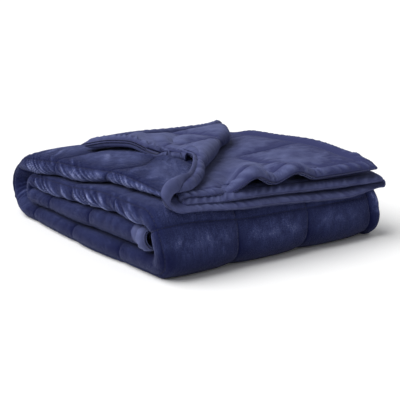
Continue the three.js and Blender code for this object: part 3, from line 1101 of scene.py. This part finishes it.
# Woven polyester microfibre, brushed: smooth and matte, a little lighter, with a fine plain weave
def liningMaterial(look):
    material, tree, shader = newMaterial("polyester microfibre")
    cloth = addNode(tree, "ShaderNodeUVMap", dict(uv_map="cloth")).outputs["UV"]
    paintedLightAndShade = addNode(tree, "ShaderNodeAttribute", dict(attribute_name="reliefAndPaintedShading")).outputs["Fac"]
    patchSettings = dict(Scale=perMetre(look["patch"]), Detail=4, Roughness=0.55)
    patches = addNode(tree, "ShaderNodeTexNoise", patchSettings, dict(Vector=cloth)).outputs["Fac"]
    # painted highlights on the box crowns and painted shade in puckers and seams, mixed with the patches,
    # choose the tone
    share = {1: look["paintedShadingShare"], "operation": "MULTIPLY_ADD"}
    standing = addNode(tree, "ShaderNodeMath", share, {0: paintedLightAndShade, 2: patches}).outputs[0]
    ramp = addNode(tree, "ShaderNodeValToRGB", {}, dict(Fac=standing))
    for stop, (place, tone) in zip(ramp.color_ramp.elements, look["tones"]):
        stop.position = place
        stop.color = colour(tone)
    tree.links.new(ramp.outputs["Color"], shader.inputs["Base Color"])
    threadSettings = dict(Scale=perMetre(look["thread"]), Detail=1, Roughness=0.5)
    weave = addNode(tree, "ShaderNodeTexNoise", threadSettings, dict(Vector=cloth)).outputs["Fac"]
    depth = dict(Strength=look["relief"], Distance=look["reliefDepth"] * mm)
    reliefAndPaintedShading = addNode(tree, "ShaderNodeBump", depth, dict(Height=weave))
    tree.links.new(reliefAndPaintedShading.outputs["Normal"], shader.inputs["Normal"])
    setAll(
        shader,
        {
            "Roughness": 0.8,
            "IOR": 1.5,
            "Specular IOR Level": 0.2,
            "Sheen Weight": 0.15,
            "Sheen Roughness": 0.45,
            "Sheen Tint": colour("#aab0d8"),
        },
    )
    return material


plush, lining = plushMaterial(plushLook), liningMaterial(liningLook)
print("materials made")


# The two faces of the sheet


# faces between the lines in use, joined without gaps where their number changes
def stripFaces(face):
    inUse, number, faces = face["inUse"], face["number"], []
    for j, used in enumerate(face["strips"]):
        places = np.nonzero(used)[0]
        for s, t in zip(places[:-1], places[1:]):
            low = [int(number[j, i]) for i in range(s, t + 1) if inUse[j, i]]
            high = [int(number[j + 1, i]) for i in range(t, s - 1, -1) if inUse[j + 1, i]]
            faces.append(low + high)
    return faces


def makePiece(name, points, faces, uv, reliefAndPaintedShading, materials):
    mesh = bpy.data.meshes.new(name)
    mesh.from_pydata(points.tolist(), [], faces)
    loops = np.concatenate([np.array(face) for face in faces])
    mesh.uv_layers.new(name="cloth").data.foreach_set("uv", uv[loops].ravel().astype(np.float32))
    # the painted light and shade is stored on the points
    mesh.attributes.new("reliefAndPaintedShading", "FLOAT", "POINT").data.foreach_set("value", reliefAndPaintedShading.astype(np.float32))
    mesh.polygons.foreach_set("use_smooth", np.ones(len(faces), bool))
    for material in materials:
        mesh.materials.append(material)
    mesh.update()
    piece = bpy.data.objects.new(name, mesh)
    scene.collection.objects.link(piece)
    return piece


# points round the edge of a face, in order
def rimLoop(face):
    inUse, number = face["inUse"], face["number"]
    begin = number[0, :-1][inUse[0, :-1]]
    end = number[-1, :0:-1][inUse[-1, :0:-1]]
    return np.concatenate([begin, number[:-1, -1], end, number[:0:-1, 0]])


# the lining is turned over the hems onto the plush side, where it shows
turnedOver = dict(endDepth=80, besideSecond=40, hemWidth=14, hemLength=700)
plushFaces = stripFaces(plushSide)
uv = plushSide["uv"]
plushVerts = placed(plushSide["points"])
plushFace = makePiece("plushFace", plushVerts, plushFaces, uv, plushSide["reliefAndPaintedShading"], [plush, lining])
for polygon, corners in zip(plushFace.data.polygons, plushFaces):
    u, v = uv[corners].mean(axis=0) / mm
    onSecond = bottom["end"] - turnedOver["besideSecond"] < u < second["end"] + turnedOver["besideSecond"]
    atEnd = onSecond and v > long - turnedOver["endDepth"]
    atHem = min(u, long - v) < turnedOver["hemWidth"] and v > long - turnedOver["hemLength"]
    polygon.material_index = int(atEnd or atHem or v < tongue["length"])

# the lining also closes the rim
liningFaces = [corners[::-1] for corners in stripFaces(liningSide)]
rim, plushRim = rimLoop(liningSide), rimLoop(plushSide)
outer = len(liningSide["points"]) + np.arange(len(rim))
liningFaces += np.stack([outer, np.roll(outer, -1), np.roll(rim, -1), rim], -1).tolist()
liningVerts = np.concatenate([placed(liningSide["points"]), plushVerts[plushRim]])
liningUv = np.concatenate([liningSide["uv"], liningSide["uv"][rim]])
# painted light and shade of the lining, repeated for the rim
liningPaintedShading = np.concatenate([liningSide["reliefAndPaintedShading"], liningSide["reliefAndPaintedShading"][rim]])
liningFace = makePiece("liningFace", liningVerts, liningFaces, liningUv, liningPaintedShading, [lining])
for faces in (plushFaces, liningFaces):
    print("face made,", sum(len(corners) - 2 for corners in faces), "triangles")


# Lockstitch thread in the rows of quilting and along the hems, where they show

stitches = dict(apart=6.4, length=3.8, width=1.1, height=0.9, sunk=0.3, shows=0.3, inset=0.2, feel=0.5)


# Spun polyester sewing thread: dark and a little smoother than the cloth, so that the rows show
def threadMaterial():
    material, _, shader = newMaterial("polyester sewing thread")
    setAll(shader, {"Base Color": colour("#171b38"), "Roughness": 0.6, "IOR": 1.5, "Specular IOR Level": 0.3})
    return material


# places on the cloth of the stitches of one face, and the direction of their row
def stitchPlaces(side):
    hemInset = sheet["border"] - stitches["inset"]
    uPlaces = np.arange(hemInset, wide - hemInset, stitches["apart"])
    vPlaces = np.arange(hemInset, long - hemInset, stitches["apart"])
    rows = [(np.full(len(vPlaces), row), vPlaces, 0) for row in acrossRows]
    rows += [(uPlaces, np.full(len(uPlaces), row), 1) for row in alongRows]
    u = np.concatenate([row[0] for row in rows])
    v = np.concatenate([row[1] for row in rows])
    across = np.concatenate([np.full(len(row[0]), row[2]) for row in rows])
    shows = openness(u, v, side) > stitches["shows"]
    return u[shows], v[shows], across[shows]


def makeStitches():
    corners, faces = [], []
    box = [(0, 1, 3, 2), (4, 6, 7, 5), (0, 4, 5, 1), (2, 3, 7, 6), (0, 2, 6, 4), (1, 5, 7, 3)]
    reach = 0.5 * stitches["length"]
    for side in (1, -1):
        u, v, across = stitchPlaces(side)
        ends = [facePoints(u + way * across, v + way * (1 - across), side)[0] for way in (-reach, reach)]
        out = side * outward(u, v, stitches["feel"])
        beside = np.cross(ends[1] - ends[0], out)
        beside *= 0.5 * stitches["width"] / np.linalg.norm(beside, axis=1, keepdims=True)
        low = -stitches["sunk"] * stitches["height"] * out
        high = (1 - stitches["sunk"]) * stitches["height"] * out
        points = [end + shift + level for end in ends for shift in (-beside, beside) for level in (low, high)]
        starts = sum(len(part) for part in corners) + len(points) * np.arange(len(u))
        corners.append(np.stack(points, 1).reshape(-1, 3))
        faces += [[int(start + k) for k in face] for start in starts for face in box]
    mesh = bpy.data.meshes.new("stitching")
    mesh.from_pydata(placed(np.concatenate(corners)).tolist(), [], faces)
    mesh.materials.append(threadMaterial())
    piece = bpy.data.objects.new("stitching", mesh)
    scene.collection.objects.link(piece)
    print("stitching made,", len(faces) // len(box), "stitches")
    return piece


stitching = makeStitches()


# one round surface over the edge of the hem, although it is made of both faces
def normalsOf(mesh):
    normals = np.empty(len(mesh.vertices) * 3, np.float32)
    mesh.vertices.foreach_get("normal", normals)
    return normals.reshape(-1, 3)


plushNormals, liningNormals = normalsOf(plushFace.data), normalsOf(liningFace.data)
overEdge = plushNormals[plushRim] + liningNormals[outer]
overEdge /= np.linalg.norm(overEdge, axis=1, keepdims=True)
plushNormals[plushRim] = overEdge
liningNormals[outer] = overEdge
plushFace.data.normals_split_custom_set_from_vertices(plushNormals.tolist())
liningFace.data.normals_split_custom_set_from_vertices(liningNormals.tolist())

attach(plushFace, "root")
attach(liningFace, "root")
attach(stitching, "root")
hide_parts("blanket")


# Stage

studio = dict(floor=12, paper="#f4f4f4", world="#ffffff", worldStrength=0.33)
keyLight = dict(strength=3.5, degrees=55, towards=(0.24, 0.72, -1.0))
fillLight = dict(place=(2.0, -0.6, 1.6), aim=(0.1, 0, 0.1), size=1.0, watts=3, tint="#f4f7ff")
view = dict(
    target=(0.14724, -0.06277, 0.1),
    azimuth=55.194,
    elevation=15.582,
    distance=2.2,
    lens=92.216,
    sensor=36,
)

reach = studio["floor"]
floorMesh = bpy.data.meshes.new("floor")
floorCorners = [(-reach, -reach, 0), (reach, -reach, 0), (reach, reach, 0), (-reach, reach, 0)]
floorMesh.from_pydata(floorCorners, [], [(0, 1, 2, 3)])
floor = bpy.data.objects.new("floor", floorMesh)
scene.collection.objects.link(floor)
# Matte coated studio paper: a plain white ground that takes a soft shadow
paper, _, paperShader = newMaterial("white studio paper")
setAll(paperShader, {"Base Color": colour(studio["paper"]), "Roughness": 0.9, "Specular IOR Level": 0.1})
floorMesh.materials.append(paper)

world = bpy.data.worlds.new("studio")
world.use_nodes = True
scene.world = world
background = world.node_tree.nodes["Background"]
background.inputs["Color"].default_value = colour(studio["world"])
background.inputs["Strength"].default_value = studio["worldStrength"]

key = bpy.data.objects.new("key", bpy.data.lights.new("key", "SUN"))
key.data.energy = keyLight["strength"]
key.data.angle = math.radians(keyLight["degrees"])
key.rotation_euler = Vector(keyLight["towards"]).to_track_quat("-Z", "Y").to_euler()
scene.collection.objects.link(key)

fill = bpy.data.objects.new("fill", bpy.data.lights.new("fill", "AREA"))
fill.data.energy = fillLight["watts"]
fill.data.size = fillLight["size"]
fill.data.color = colour(fillLight["tint"])[:3]
fill.location = fillLight["place"]
towardsAim = Vector(fillLight["aim"]) - Vector(fillLight["place"])
fill.rotation_euler = towardsAim.to_track_quat("-Z", "Y").to_euler()
scene.collection.objects.link(fill)

azimuth, elevation = math.radians(view["azimuth"]), math.radians(view["elevation"])
level = math.cos(elevation)
back = Vector((math.sin(azimuth) * level, -math.cos(azimuth) * level, math.sin(elevation)))
cameraData = bpy.data.cameras.new("camera")
cameraData.lens = view["lens"]
cameraData.sensor_width = view["sensor"]
camera = bpy.data.objects.new("camera", cameraData)
camera.location = Vector(view["target"]) + back * view["distance"]
camera.rotation_euler = back.to_track_quat("Z", "Y").to_euler()
scene.collection.objects.link(camera)
scene.camera = camera
scene.view_settings.view_transform = "Standard"
print("stage set")
